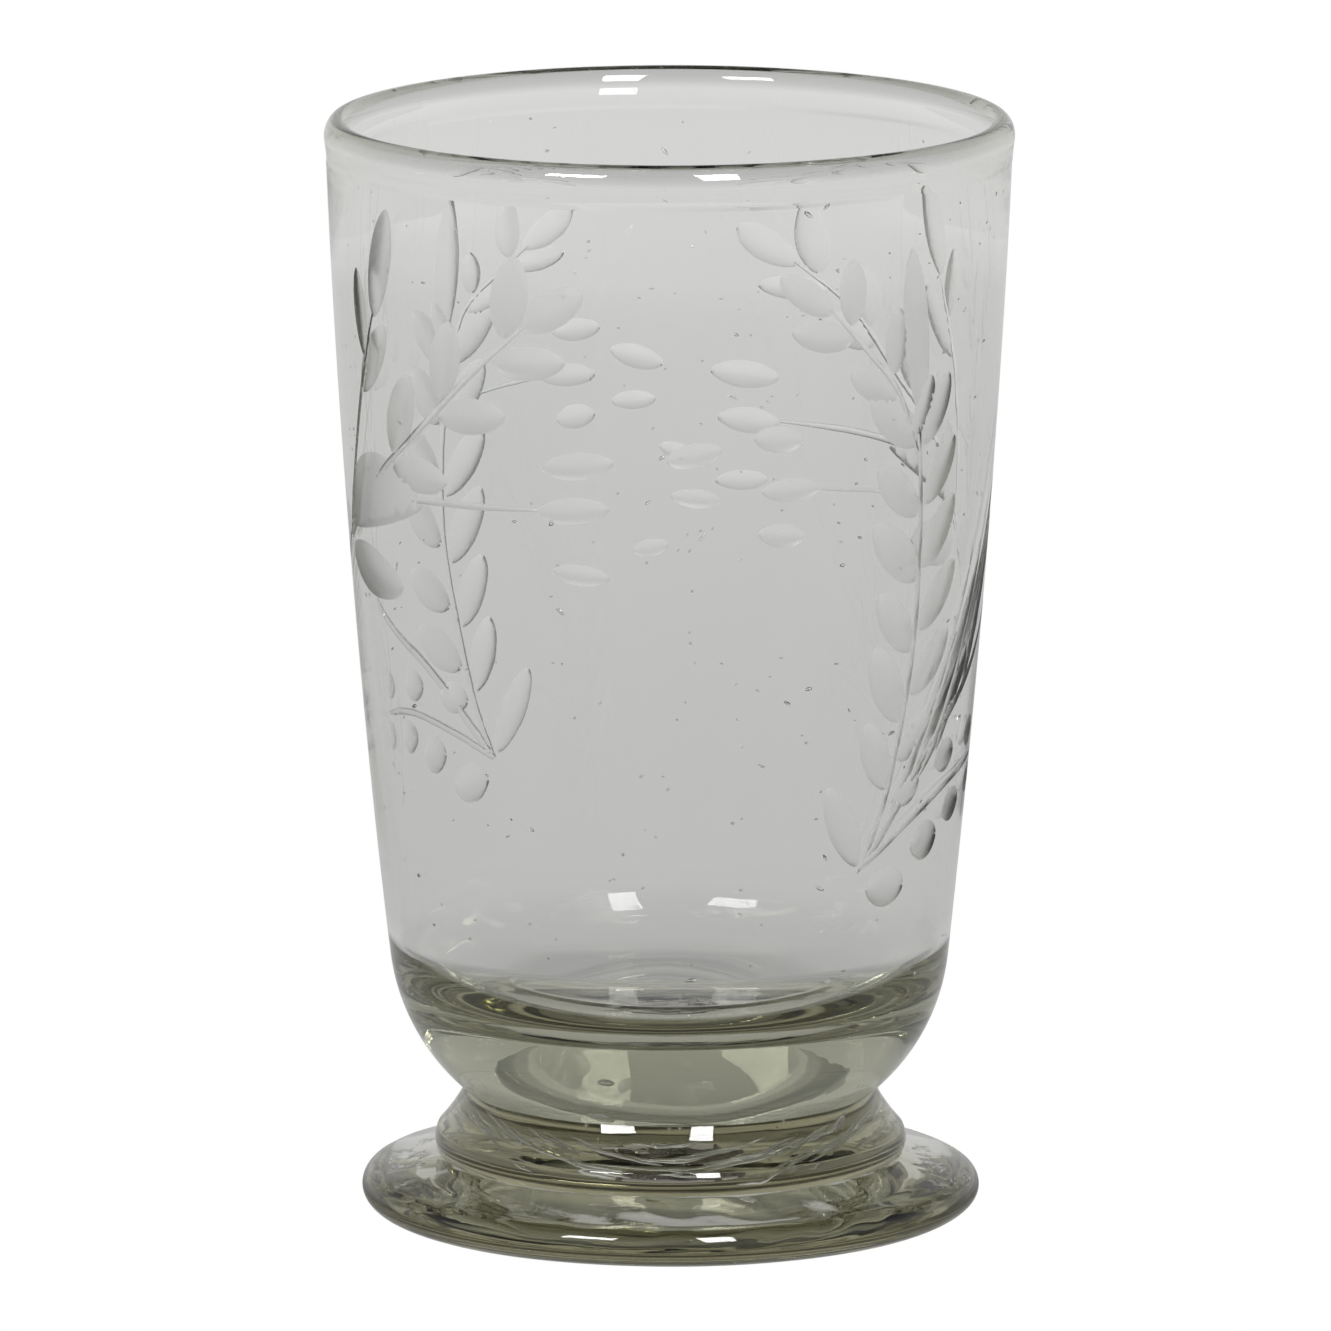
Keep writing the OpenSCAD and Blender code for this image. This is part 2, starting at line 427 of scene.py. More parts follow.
class Stem:
    """A narrow round-bottomed groove along a curve, thinner at both ends."""

    # Further than any place in a groove, in half widths
    FAR = 9.0

    def __init__(self, points, width, depth):
        self.path = smooth_path(points)
        n = len(self.path)
        t = np.linspace(0, 1, n)
        self.half = width / 2 * (0.35 + 0.65 * np.minimum(1, 5 * np.minimum(t + 0.12, 1 - t)))
        self.depth_mm = depth
        run = np.gradient(self.path, axis=0)
        run /= np.linalg.norm(run, axis=1)[:, None]
        self.side = np.stack([-run[:, 1], run[:, 0]], axis=1)

    def at(self, t):
        """Point and direction at a fraction of the way along."""
        i = t * (len(self.path) - 1)
        k = min(int(i), len(self.path) - 2)
        run = self.path[k + 1] - self.path[k]
        return self.path[k] + run * (i - k), run / np.linalg.norm(run)

    def outline(self):
        shift = self.side * self.half[:, None]
        return np.concatenate([self.path + shift, (self.path - shift)[::-1]])

    def inside(self):
        return self.path[1:-1]

    def depth(self, p):
        best = np.full(len(p), self.FAR)
        for k in range(len(self.path) - 1):
            a, b = self.path[k], self.path[k + 1]
            ab = b - a
            t = np.clip((p - a) @ ab / (ab @ ab), 0, 1)
            gap = np.linalg.norm(p - a - t[:, None] * ab, axis=1)
            best = np.minimum(best, gap / (self.half[k] + t * (self.half[k + 1] - self.half[k])))
        return self.depth_mm * (1 - best**2)


def turned(vector, degrees):
    a = math.radians(degrees)
    return np.array([vector[0] * math.cos(a) - vector[1] * math.sin(a),
                     vector[0] * math.sin(a) + vector[1] * math.cos(a)])


def spray(start, lift, scale, blades, rng):
    """One spray's cuts, each a little off as by hand, from its root at start round the wall."""
    def put(point):
        return np.array([start + point[0], lift + point[1] * scale])

    def hand():
        return rng.normal(0, HAND_SLIP, 2)

    stems = {}
    for name, (points, width, depth) in STEMS.items():
        stems[name] = Stem([put(p) for p in points], width, depth)
    cuts = list(stems.values())
    for name, first, last, count, side, length, width, lean in LEAF_ROWS:
        for t in np.linspace(first, last, count):
            point, run = stems[name].at(t)
            out = turned(run, side * (lean + rng.normal(0, LEAN_SLIP)))
            base = point + turned(run, side * 90) * OFF_STEM + out * OFF_ALONG + hand()
            size = rng.uniform(*LEAF_SIZES)
            half = width * size / 2
            depth = rng.uniform(*LEAF_DEPTHS)
            cuts.append(Leaf(base, base + out * length * size, half, half, depth))
    for base, tip, width, depth in SINGLES + blades:
        cuts.append(Leaf(put(base) + hand(), put(tip) + hand(), width / 2, width / 2, depth))
    for base, tip, left, right, depth in BROAD:
        cuts.append(Leaf(put(base), put(tip), left, right, depth))
    return cuts


def engraving():
    """Every cut on the wall, with u counted from the mesh's seam."""
    rng = np.random.default_rng(21)
    cuts = []
    for (degrees, lift, scale), blades in zip(SPRAYS, (BLADES, ())):
        start = math.radians(degrees - SEAM_DEG) * CUT_R
        cuts += spray(start, lift, scale, blades, rng)
    return cuts


def deepest(cuts, points):
    """Depth of the deepest cut at each point, and which cut it is; -1 where there is none."""
    depth, owner = np.zeros(len(points)), np.full(len(points), -1)
    for i, cut in enumerate(cuts):
        edge = cut.outline()
        low, high = edge.min(0) - 0.05, edge.max(0) + 0.05
        near = np.where(np.all((points > low) & (points < high), axis=1))[0]
        if len(near):
            d = cut.depth(points[near])
            more = d > depth[near] + 1e-6
            depth[near[more]], owner[near[more]] = d[more], i
    return depth, owner


def band_mesh(cuts):
    """Triangles of the engraved band in the flat (u, v) plane, with every cut's outline as edges."""
    turn = 2 * np.pi * CUT_R
    v0, v1 = BAND
    step = turn / COLUMNS
    u_edge = np.arange(COLUMNS + 1) * step
    rows = np.linspace(v0, v1, BAND_ROWS)
    points, edges = [], []

    def add_loop(loop):
        first = len(points)
        points.extend(map(tuple, loop))
        count = len(loop)
        edges.extend((first + i, first + (i + 1) % count) for i in range(count))

    border = ([(u, v0) for u in u_edge] + [(turn, v) for v in rows[1:]]
              + [(u, v1) for u in u_edge[-2::-1]] + [(0, v) for v in rows[-2:0:-1]])
    add_loop(border)
    for cut in cuts:
        add_loop(cut.outline())
        points.extend(map(tuple, cut.inside()))
    grid = []
    for k, v in enumerate(rows[1:-1]):
        offset = 0.5 if k % 2 else 0
        grid.extend((u, v) for u in (np.arange(1, COLUMNS // 2) + offset) * 2 * step if u < turn - step)
    grid = np.array(grid)
    grid = grid[deepest(cuts, grid)[1] < 0]
    points.extend(map(tuple, grid))
    made = delaunay_2d_cdt([Vector(p) for p in points], edges, [], 0, 1e-3, False)
    return np.array([tuple(p) for p in made[0]]), [tuple(f) for f in made[2]]


# The wall leans out towards the mouth, so its outward direction drops by this share
OUT_DROP = 0.08


def wall_points(uv, depth):
    """Places flat (u, v) points on the uneven outer wall, sunk by a depth in millimetres."""
    angle = math.radians(SEAM_DEG) + uv[:, 0] / CUT_R
    z = (ROOT_Z + uv[:, 1]) * MM
    r = wall_r(z)
    p = uneven(np.stack([r * np.sin(angle), -r * np.cos(angle), z], axis=1))
    out = np.stack([np.sin(angle), -np.cos(angle), np.full(len(z), -OUT_DROP)], axis=1)
    return p - out * depth[:, None] * MM


# Step in millimetres that the wall's own slope is taken over
NORMAL_STEP = 0.05


def wall_normals(uv, slope_u, slope_v):
    """Outward normals of the wall, tilted by the cut's slope."""
    h, flush = NORMAL_STEP, np.zeros(len(uv))
    du = wall_points(uv + [h, 0], flush) - wall_points(uv - [h, 0], flush)
    dv = wall_points(uv + [0, h], flush) - wall_points(uv - [0, h], flush)
    du /= np.linalg.norm(du, axis=1)[:, None]
    dv /= np.linalg.norm(dv, axis=1)[:, None]
    n = np.cross(du, dv) + du * slope_u[:, None] + dv * slope_v[:, None]
    return n / np.linalg.norm(n, axis=1)[:, None]


# ---------------------------------------------------------------------------
# Meshes
# ---------------------------------------------------------------------------
def new_piece(name, mesh):
    piece = bpy.data.objects.new(name, mesh)
    bpy.context.scene.collection.objects.link(piece)
    return piece


def rings_of(bm, outline, shape=uneven, first_ring=None):
    """Rows of vertices round the axis, one per outline point; a point on the axis is one vertex."""
    rings = []
    for k, (r, z) in enumerate(outline):
        if k == 0 and first_ring:
            rings.append(first_ring)
        elif r < 1e-7:
            rings.append([bm.verts.new((0, 0, z))])
        else:
            x, y = r * np.sin(COLUMN_ANGLES), -r * np.cos(COLUMN_ANGLES)
            circle = np.stack([x, y, np.full(COLUMNS, z)], axis=1)
            rings.append([bm.verts.new(p) for p in shape(circle)])
    return rings


def skin(bm, rings, columns=COLUMNS):
    """Faces between neighbouring rings, where a ring of one vertex makes triangles."""
    faces = []
    for low, high in zip(rings[:-1], rings[1:]):
        for i in range(columns):
            j = (i + 1) % columns
            quad = [low[i % len(low)], low[j % len(low)], high[j % len(high)], high[i % len(high)]]
            faces.append(bm.faces.new(list(dict.fromkeys(quad))))
    return faces


SHARP_ANGLE = math.radians(38)


def finished(name, bm):
    """Turns the built faces into a smooth-shaded object."""
    mesh = bpy.data.meshes.new(name)
    bm.to_mesh(mesh)
    bm.free()
    mesh.shade_smooth()
    mesh.set_sharp_from_angle(angle=SHARP_ANGLE)
    return new_piece(name, mesh)


def spot(degrees, r, z):
    """A point from its angle round the glass, with radius and height in millimetres."""
    a = math.radians(degrees)
    return Vector((r * math.sin(a), -r * math.cos(a), z)) * MM


def bubble(bm, centre, along, length, width, detail=2):
    """A closed air bubble in the glass; its faces look into the bubble."""
    made = bmesh.ops.create_icosphere(bm, subdivisions=detail, radius=0.5)["verts"]
    turn = Vector(along).to_track_quat("X", "Z")
    for v in made:
        v.co = Vector(centre) + turn @ Vector((v.co.x * length, v.co.y * width, v.co.z * width))
    bmesh.ops.reverse_faces(bm, faces=list({f for v in made for f in v.link_faces}))


# Corners of an air line's section, and its height as a share of its width
LINE_CORNERS, LINE_FLATNESS = 6, 0.4


def air_line(bm, path, width):
    """A hair-thin closed air line in the glass along a path, flat and tapered to both ends."""
    count = len(path)
    rings = []
    for i, point in enumerate(path):
        if i in (0, count - 1):
            rings.append([bm.verts.new(point)])
            continue
        run = (path[i + 1] - path[i - 1]).normalized()
        side = run.cross(Vector((0.1, 0.2, 1))).normalized()
        lift = side.cross(run) * LINE_FLATNESS
        size = width / 2 * math.sin(math.pi * i / (count - 1)) ** 0.5
        ring = []
        for k in range(LINE_CORNERS):
            a = 2 * math.pi * k / LINE_CORNERS
            ring.append(bm.verts.new(point + (side * math.cos(a) + lift * math.sin(a)) * size))
        rings.append(ring)
    faces = skin(bm, rings, LINE_CORNERS)
    bmesh.ops.recalc_face_normals(bm, faces=faces)
    bmesh.ops.reverse_faces(bm, faces=faces)


# Seed bubbles of the wall: number, heights in millimetres, place in the wall's thickness, usual
# and greatest size, length and width as shares of that size, and how much they slant
SEEDS, SEED_HEIGHTS, SEED_PLACES = 300, (34, 144), (0.45, 0.6)
SEED_SIZE, SEED_LIMIT = 0.3 * MM, 0.75 * MM
SEED_LENGTHS, SEED_WIDTH, SEED_SLANT = (1, 2.4), 0.75, 0.6


def add_seeds(bm, rng):
    """Tiny bubbles all over the wall, a few of them drawn out."""
    for _ in range(SEEDS):
        z = rng.uniform(*SEED_HEIGHTS) * MM
        degrees = rng.uniform(0, 360)
        a = math.radians(degrees)
        r = wall_r(z) - WALL_T * rng.uniform(*SEED_PLACES)
        size = min(SEED_SIZE * (1 + rng.pareto(3.0)), SEED_LIMIT)
        along = (math.cos(a), math.sin(a), rng.normal(0, SEED_SLANT))
        length = size * rng.uniform(*SEED_LENGTHS)
        bubble(bm, spot(degrees, r / MM, z / MM), along, length, size * SEED_WIDTH, 1)


# Collar, in millimetres and degrees; a pair is the range of a random draw.
# Bubbles along its upper seam: angles, sizes, radii and depth below the seam
SEAM_BUBBLES = (-24, -19, -16, -11, 0, 3, 12, 34, 75, 128, 190, 214, 262, 301)
SEAM_SIZES, SEAM_RADII, SEAM_DEPTH = (0.4, 0.62), (27.0, 27.3), 0.48
# Loose bubbles: number, sizes, radii and heights
COLLAR_BUBBLES, COLLAR_SIZES, COLLAR_RADII, COLLAR_HEIGHTS = 26, (0.2, 0.4), (8, 27), (10, 15)
# Slanting air streaks: number, slant, and the ranges of their reach, radius, height and width
STREAKS, STREAK_SLANT, STREAK_POINTS = 96, 1.9, 15
STREAK_REACH, STREAK_RADII, STREAK_WIDTHS = (7, 16), (26.2, 28.2), (0.6, 1.7)
STREAK_HEIGHTS, STREAK_LOW, STREAK_HIGH = (10.2, 14.4), 9.3, 15.8
# The crackled patch in its middle: cracks, points on each, step, widths, radius and depth
CRACKS, CRACK_STEPS, CRACK_STEP, CRACK_WIDTHS = 34, 9, 0.55, (0.4, 0.85)
CRACKLE_R, CRACKLE_DEPTH = 8.2, 0.55


def add_seam_bubbles(bm, rng):
    """A row of bubbles caught where the collar meets the neck."""
    for degrees in SEAM_BUBBLES:
        size = rng.uniform(*SEAM_SIZES) * MM
        place = spot(degrees, rng.uniform(*SEAM_RADII), NECK_Z / MM - SEAM_DEPTH)
        bubble(bm, place, (1, 0, 0), size * 1.3, size)


def add_streaks(bm, rng):
    """Slanting air streaks between the folded layers, all the way round."""
    for k in range(STREAKS):
        middle, reach = k * 360 / STREAKS + rng.normal(0, 2), rng.uniform(*STREAK_REACH)
        r, z = rng.uniform(*STREAK_RADII), rng.uniform(*STREAK_HEIGHTS)
        slant = STREAK_SLANT * math.sin(math.radians(2 * middle)) + rng.normal(0, 0.25)
        path = []
        for t in np.linspace(-1, 1, STREAK_POINTS):
            height = np.clip(z + slant * t * reach / 12 + 0.35 * t * t, STREAK_LOW, STREAK_HIGH)
            height += rng.normal(0, 0.03)
            path.append(spot(middle + reach * t, r + 0.3 * math.sin(4 * t + k), height))
        air_line(bm, path, rng.uniform(*STREAK_WIDTHS) * MM)


def add_crackle(bm, rng):
    """Wandering cracks in the middle of the joint with the bowl."""
    for _ in range(CRACKS):
        at, r = rng.uniform(0, 360), CRACKLE_R * math.sqrt(rng.uniform(0, 1))
        turn = rng.uniform(0, FULL_TURN)
        here = spot(at, r, NECK_Z / MM - CRACKLE_DEPTH)
        path = []
        for _ in range(CRACK_STEPS):
            path.append(here)
            turn += rng.normal(0, 0.7)
            step = Vector((math.cos(turn), math.sin(turn), rng.normal(0, 0.05)))
            here = here + step * CRACK_STEP * MM
        air_line(bm, path, rng.uniform(*CRACK_WIDTHS) * MM)


def collar_piece():
    bm = bmesh.new()
    skin(bm, rings_of(bm, collar_outline(), tooled))
    bmesh.ops.recalc_face_normals(bm, faces=bm.faces)
    rng = np.random.default_rng(77)
    add_seam_bubbles(bm, rng)
    for _ in range(COLLAR_BUBBLES):
        size = rng.uniform(*COLLAR_SIZES) * MM
        place = spot(rng.uniform(0, 360), rng.uniform(*COLLAR_RADII), rng.uniform(*COLLAR_HEIGHTS))
        bubble(bm, place, rng.normal(0, 1, 3), size * rng.uniform(1, 2), size, 1)
    add_streaks(bm, rng)
    add_crackle(bm, rng)
    return finished("collar_glass", bm)


# Foot, in millimetres and degrees: number, sizes, radii and heights of its small bubbles
FOOT_BUBBLES, FOOT_SIZES, FOOT_RADII, FOOT_HEIGHTS = 40, (0.2, 0.42), (12, 39), (3.6, 4.8)
# Jagged trapped air where the glass was folded over: angle, radius and number of lines
CREASES = ((-100, 34, 5), (-86, 37, 3), (94, 35, 5), (158, 36, 2), (236, 37, 2))
CREASE_RADII, CREASE_Z, CREASE_POINTS, CREASE_WIDTHS = (33, 39), 4.9, 12, (0.7, 1.3)


def foot_piece():
    bm = bmesh.new()
    skin(bm, rings_of(bm, foot_outline(), pressed))
    bmesh.ops.recalc_face_normals(bm, faces=bm.faces)
    rng = np.random.default_rng(58)
    for _ in range(FOOT_BUBBLES):
        size = rng.uniform(*FOOT_SIZES) * MM
        place = spot(rng.uniform(0, 360), rng.uniform(*FOOT_RADII), rng.uniform(*FOOT_HEIGHTS))
        bubble(bm, place, (*rng.normal(0, 1, 2), 0), size * rng.uniform(1, 2), size, 1)
    for degrees, r, lines in CREASES:
        for _ in range(lines):
            at, around, out = degrees + rng.normal(0, 4), rng.normal(0, 1.6), rng.normal(0, 1)
            path = []
            for k in range(CREASE_POINTS):
                angle = at + k * around * 0.35 + rng.normal(0, 0.5)
                place_r = np.clip(r + k * out * 0.3 + rng.normal(0, 0.3), *CREASE_RADII)
                path.append(spot(angle, place_r, CREASE_Z + rng.normal(0, 0.4)))
            air_line(bm, path, rng.uniform(*CREASE_WIDTHS) * MM)
    return finished("foot_glass", bm)


PONTIL_LOBES = 9
PONTIL_H = 1.4 * MM
# Splinter faces of the break: number, usual slope and greatest step up or down
SHARDS, SHARD_SLOPE, SHARD_STEP = 46, 0.09, 0.2 * MM


def pontil_piece():
    """Broken knob under the dome: a lobed edge and a splintered face."""
    rng = np.random.default_rng(66)
    bm = bmesh.new()
    columns, rows = 108, 26
    angle = np.linspace(0, 2 * np.pi, columns, endpoint=False)
    lobe = np.abs(np.cos(PONTIL_LOBES / 2 * angle)) ** 0.6
    edge = PONTIL_R * (0.9 + 0.09 * lobe + 0.008 * wave(angle, 0, ((1, 5, 0), (1, 17, 0)), 3))
    shards = rng.uniform(-1, 1, (SHARDS, 2)) * PONTIL_R
    tilt = rng.normal(0, SHARD_SLOPE, (SHARDS, 2))
    level = rng.uniform(-SHARD_STEP, SHARD_STEP, SHARDS)

    def broken(x, y):
        """Splinter faces: each point takes the plane of its nearest shard."""
        gap = (x[:, None] - shards[:, 0]) ** 2 + (y[:, None] - shards[:, 1]) ** 2
        near = gap.argmin(axis=1)
        slope = (x - shards[near, 0]) * tilt[near, 0] + (y - shards[near, 1]) * tilt[near, 1]
        return level[near] + slope

    def ring(t, top):
        x, y = edge * t * np.sin(angle), -edge * t * np.cos(angle)
        z = dome_z(np.hypot(x, y)) - SEAM_GAP
        if not top:
            z = np.maximum(DOME_H - PONTIL_H + 0.25 * MM + broken(x, y), 0.4 * MM)
        return [bm.verts.new(p) for p in zip(x, y, z)]

    centre_low = [bm.verts.new((0, 0, DOME_H - PONTIL_H + 0.2 * MM))]
    low = [centre_low] + [ring(t, False) for t in np.linspace(0, 0.97, rows)[1:]]
    high = [ring(t, True) for t in np.linspace(1, 0, rows // 2)[:-1]]
    centre_high = [bm.verts.new((0, 0, DOME_H - SEAM_GAP))]
    skin(bm, low + high + [centre_high], columns)
    bmesh.ops.recalc_face_normals(bm, faces=bm.faces)
    return finished("pontil_glass", bm)


# Larger bubbles in the bowl's thick base: place, direction, length and width in millimetres
BASE_BUBBLES = (
    ((-24, 20, 20.4), (1, 0.3, -0.1), 3.6, 1.2),
    ((-22, 19, 25.4), (1, 0.2, 0), 2.0, 0.8),
    ((150, 17, 23), (1, -0.4, 0.1), 1.6, 0.8),
)
# The steepest slope that a cut's shading takes, and the step in millimetres that it is taken over
CUT_SLOPE, SLOPE_STEP = 0.9, 0.02


def counter_clockwise(triangle, uv):
    a, b, c = (uv[i] for i in triangle)
    area = (b[0] - a[0]) * (c[1] - a[1]) - (b[1] - a[1]) * (c[0] - a[0])
    return triangle[::-1] if area < 0 else triangle


def band_verts(bm, uv, place, turn):
    """One vertex per flat point; the points at the band's far end are those at its start."""
    first = {round(v, 2): i for i, (u, v) in enumerate(uv) if u < 1e-3}
    verts = [bm.verts.new(p) if u <= turn - 1e-3 else None for (u, v), p in zip(uv, place)]
    for i, (u, v) in enumerate(uv):
        if verts[i] is None:
            verts[i] = verts[first[round(v, 2)]]
    return verts


def cut_normals(cuts, points, owners):
    """Normals at flat points, tilted by the slope of the cut that owns each of them."""
    slope = np.zeros((len(points), 2))
    for k, cut in enumerate(cuts):
        mine = np.where(owners == k)[0]
        if len(mine):
            for axis, step in enumerate(np.eye(2) * SLOPE_STEP):
                rise = cut.depth(points[mine] + step) - cut.depth(points[mine] - step)
                slope[mine, axis] = rise / (2 * SLOPE_STEP)
    slope = np.clip(slope, -CUT_SLOPE, CUT_SLOPE)
    return wall_normals(points, slope[:, 0], slope[:, 1])


def make_bowl():
    """The engraved band, and the rings of the rest of the bowl joined to its two ends."""
    cuts = engraving()
    uv, triangles = band_mesh(cuts)
    turn = 2 * np.pi * CUT_R
    bm = bmesh.new()
    verts = band_verts(bm, uv, wall_points(uv, deepest(cuts, uv)[0]), turn)
    centres = np.array([uv[list(t)].mean(0) for t in triangles])
    owners = deepest(cuts, centres)[1]
    triangles = [counter_clockwise(t, uv) for t in triangles]
    for t in triangles:
        bm.faces.new([verts[i] for i in t])
    band_faces = len(triangles)
    band_normals = cut_normals(cuts, uv[np.array(triangles).reshape(-1)], np.repeat(owners, 3))

    def end_ring(v_end):
        found = {}
        for i, (u, v) in enumerate(uv):
            if abs(v - v_end) < 1e-3 and u < turn - 1e-3:
                found[round(u / turn * COLUMNS) % COLUMNS] = verts[i]
        return [found[k] for k in range(COLUMNS)]

    low_z, high_z = (ROOT_Z + BAND[0]) * MM, (ROOT_Z + BAND[1]) * MM
    skin(bm, rings_of(bm, bowl_outside(low_z)[:-1]) + [end_ring(BAND[0])])
    skin(bm, rings_of(bm, bowl_inside(high_z), uneven_inside, end_ring(BAND[1])))
    add_seeds(bm, np.random.default_rng(5))
    for place, along, length, width in BASE_BUBBLES:
        bubble(bm, spot(*place), along, length * MM, width * MM, 3)

    mesh = bpy.data.meshes.new("bowl_glass")
    bm.to_mesh(mesh)
    bm.free()
    is_cut = np.zeros(len(mesh.polygons))
    is_cut[:band_faces] = owners >= 0
    mesh.attributes.new("cut", "FLOAT", "FACE").data.foreach_set("value", is_cut)
    mesh.shade_smooth()
    mesh.set_sharp_from_angle(angle=SHARP_ANGLE)
    normals = np.zeros(len(mesh.loops) * 3)
    mesh.corner_normals.foreach_get("vector", normals)
    normals = normals.reshape(-1, 3)
    normals[: band_faces * 3] = band_normals
    mesh.normals_split_custom_set(normals.tolist())
    return new_piece("bowl_glass", mesh)


# ---------------------------------------------------------------------------
# Materials
# ---------------------------------------------------------------------------
class Nodes:
    """Short calls for building a node tree."""

    def __init__(self, owner):
        owner.use_nodes = True
        self.tree = owner.node_tree
        self.tree.nodes.clear()

    def add(self, kind, **settings):
        node = self.tree.nodes.new(kind)
        for key, value in settings.items():
            setattr(node, key, value)
        return node

    def link(self, source, target):
        self.tree.links.new(source, target)

    def math(self, operation, *inputs):
        node = self.add("ShaderNodeMath", operation=operation)
        for socket, value in zip(node.inputs, inputs):
            if hasattr(value, "is_output"):
                self.link(value, socket)
            else:
                socket.default_value = value
        return node.outputs[0]

    def attribute(self, name):
        return self.add("ShaderNodeAttribute", attribute_name=name).outputs["Fac"]

    def noise(self, place, scale, detail, twist):
        """Noise over the object's own space, with its own scale along each axis."""
        spread = self.add("ShaderNodeVectorMath", operation="MULTIPLY")
        self.link(place, spread.inputs[0])
        spread.inputs[1].default_value = scale
        noise = self.add("ShaderNodeTexNoise")
        noise.inputs["Scale"].default_value = 1
        noise.inputs["Detail"].default_value = detail
        noise.inputs["Distortion"].default_value = twist
        self.link(spread.outputs[0], noise.inputs["Vector"])
        return noise.outputs[0]

    def curve(self, source, stops, low, high):
        """A grey ramp through (value, grey) stops, over the range low to high."""
        ramp = self.add("ShaderNodeValToRGB")
        scaled = self.math("DIVIDE", self.math("SUBTRACT", source, low), high - low)
        self.link(scaled, ramp.inputs[0])
        elements = ramp.color_ramp.elements
        while len(elements) < len(stops):
            elements.new(0.5)
        for element, (value, grey) in zip(elements, stops):
            element.position = (value - low) / (high - low)
            element.color = (grey, grey, grey, 1)
        return ramp.outputs[0]


# Roughness of a cut, how much it varies, and the height of its grain
CUT_ROUGH, CUT_ROUGH_RANGE = 0.42, 0.12
CUT_GRAIN = 0.004 * MM
# Waves per metre along each axis: smears on the surface, and the grain of ground glass
SMEARS = (70, 70, 25)
GRAIN = (5200, 5200, 5200)
SMEARED_WHITE = (0.97, 0.978, 0.976, 1)
GLASS_TINT = (0.65, 0.655, 0.555)
THICK_TINT = (0.67, 0.657, 0.52)
# The pontil mark's glass is tinted a dark purple as painted shade for its rough, shadowed broken face,
# so it looks dusky through the base
PONTIL_SHADE_TINT = (0.5, 0.45, 0.52)


# The Mix node's sockets for its two colours and its result
COLOUR_A, COLOUR_B, COLOUR_OUT = 6, 7, 2


def glass(name, tint, density, ripple, ripple_scale, dull, grain):
    """Clear glass. Ripple is the height of the bumps in metres, and dull the roughness that
    smears add. Faces marked as cut are ground to a satin of fine grain."""
    material = bpy.data.materials.new(name)
    nodes = Nodes(material)
    output = nodes.add("ShaderNodeOutputMaterial")
    shader = nodes.add("ShaderNodeBsdfPrincipled")
    shader.inputs["Transmission Weight"].default_value = 1
    nodes.link(shader.outputs[0], output.inputs["Surface"])
    depth = nodes.add("ShaderNodeVolumeAbsorption")
    depth.inputs["Color"].default_value = (*tint, 1)
    depth.inputs["Density"].default_value = density
    nodes.link(depth.outputs[0], output.inputs["Volume"])
    nodes.link(nodes.attribute("ior"), shader.inputs["IOR"])

    place = nodes.add("ShaderNodeTexCoord").outputs["Object"]
    cords = nodes.noise(place, (ripple_scale, ripple_scale, ripple_scale * 0.35), 3, 0.8)
    smears = nodes.noise(place, SMEARS, 4, 0.4)
    fine = nodes.noise(place, GRAIN, 2, 0)
    cut = nodes.attribute("cut")
    # Colour: thin smears leave the surface a shade less clear
    clear = nodes.add("ShaderNodeMix", data_type="RGBA")
    clear.inputs[COLOUR_A].default_value = (1, 1, 1, 1)
    clear.inputs[COLOUR_B].default_value = SMEARED_WHITE
    nodes.link(smears, clear.inputs[0])
    nodes.link(clear.outputs[COLOUR_OUT], shader.inputs["Base Color"])
    # Roughness: nearly none on clear glass, satin in the cuts
    smeared = nodes.math("MAXIMUM", nodes.math("SUBTRACT", smears, 0.5), 0)
    clear_rough = nodes.math("MULTIPLY", smeared, dull)
    least = CUT_ROUGH - CUT_ROUGH_RANGE / 2
    satin = nodes.math("MULTIPLY", cut, nodes.math("MULTIPLY_ADD", fine, CUT_ROUGH_RANGE, least))
    nodes.link(nodes.math("ADD", clear_rough, satin), shader.inputs["Roughness"])
    # Relief: long ripples of the blown glass, and grain
    grain_height = nodes.math("ADD", nodes.math("MULTIPLY", cut, CUT_GRAIN), grain)
    grainy = nodes.math("MULTIPLY", fine, grain_height)
    relief = nodes.math("ADD", nodes.math("MULTIPLY", cords, ripple), grainy)
    bump = nodes.add("ShaderNodeBump")
    bump.inputs["Distance"].default_value = 1
    nodes.link(relief, bump.inputs["Height"])
    nodes.link(bump.outputs[0], shader.inputs["Normal"])
    return material


FUSED_IOR, GLASS_IOR = 1.0001, 1.5


def joint_ior(piece, fused):
    """Writes the index of refraction: almost none on the fused faces, and glass on the rest."""
    faces = piece.data.attributes.new("ior", "FLOAT", "FACE")
    for p in piece.data.polygons:
        faces.data[p.index].value = FUSED_IOR if fused(p.center, p.normal) else GLASS_IOR


def level_with(height):
    """Test for the flat joint faces at a height."""
    return lambda centre, normal: abs(normal.z) > 0.999 and abs(centre.z - height) < 0.05 * MM


def collar_joints(centre, normal):
    return level_with(NECK_Z)(centre, normal) or level_with(FOOT_TOP_Z)(centre, normal)


def foot_joints(centre, normal):
    under_knob = normal.z < -0.9 and math.hypot(centre.x, centre.y) < 0.9 * PONTIL_R
    return level_with(FOOT_TOP_Z)(centre, normal) or under_knob


def knob_joint(centre, normal):
    return normal.z > 0.9


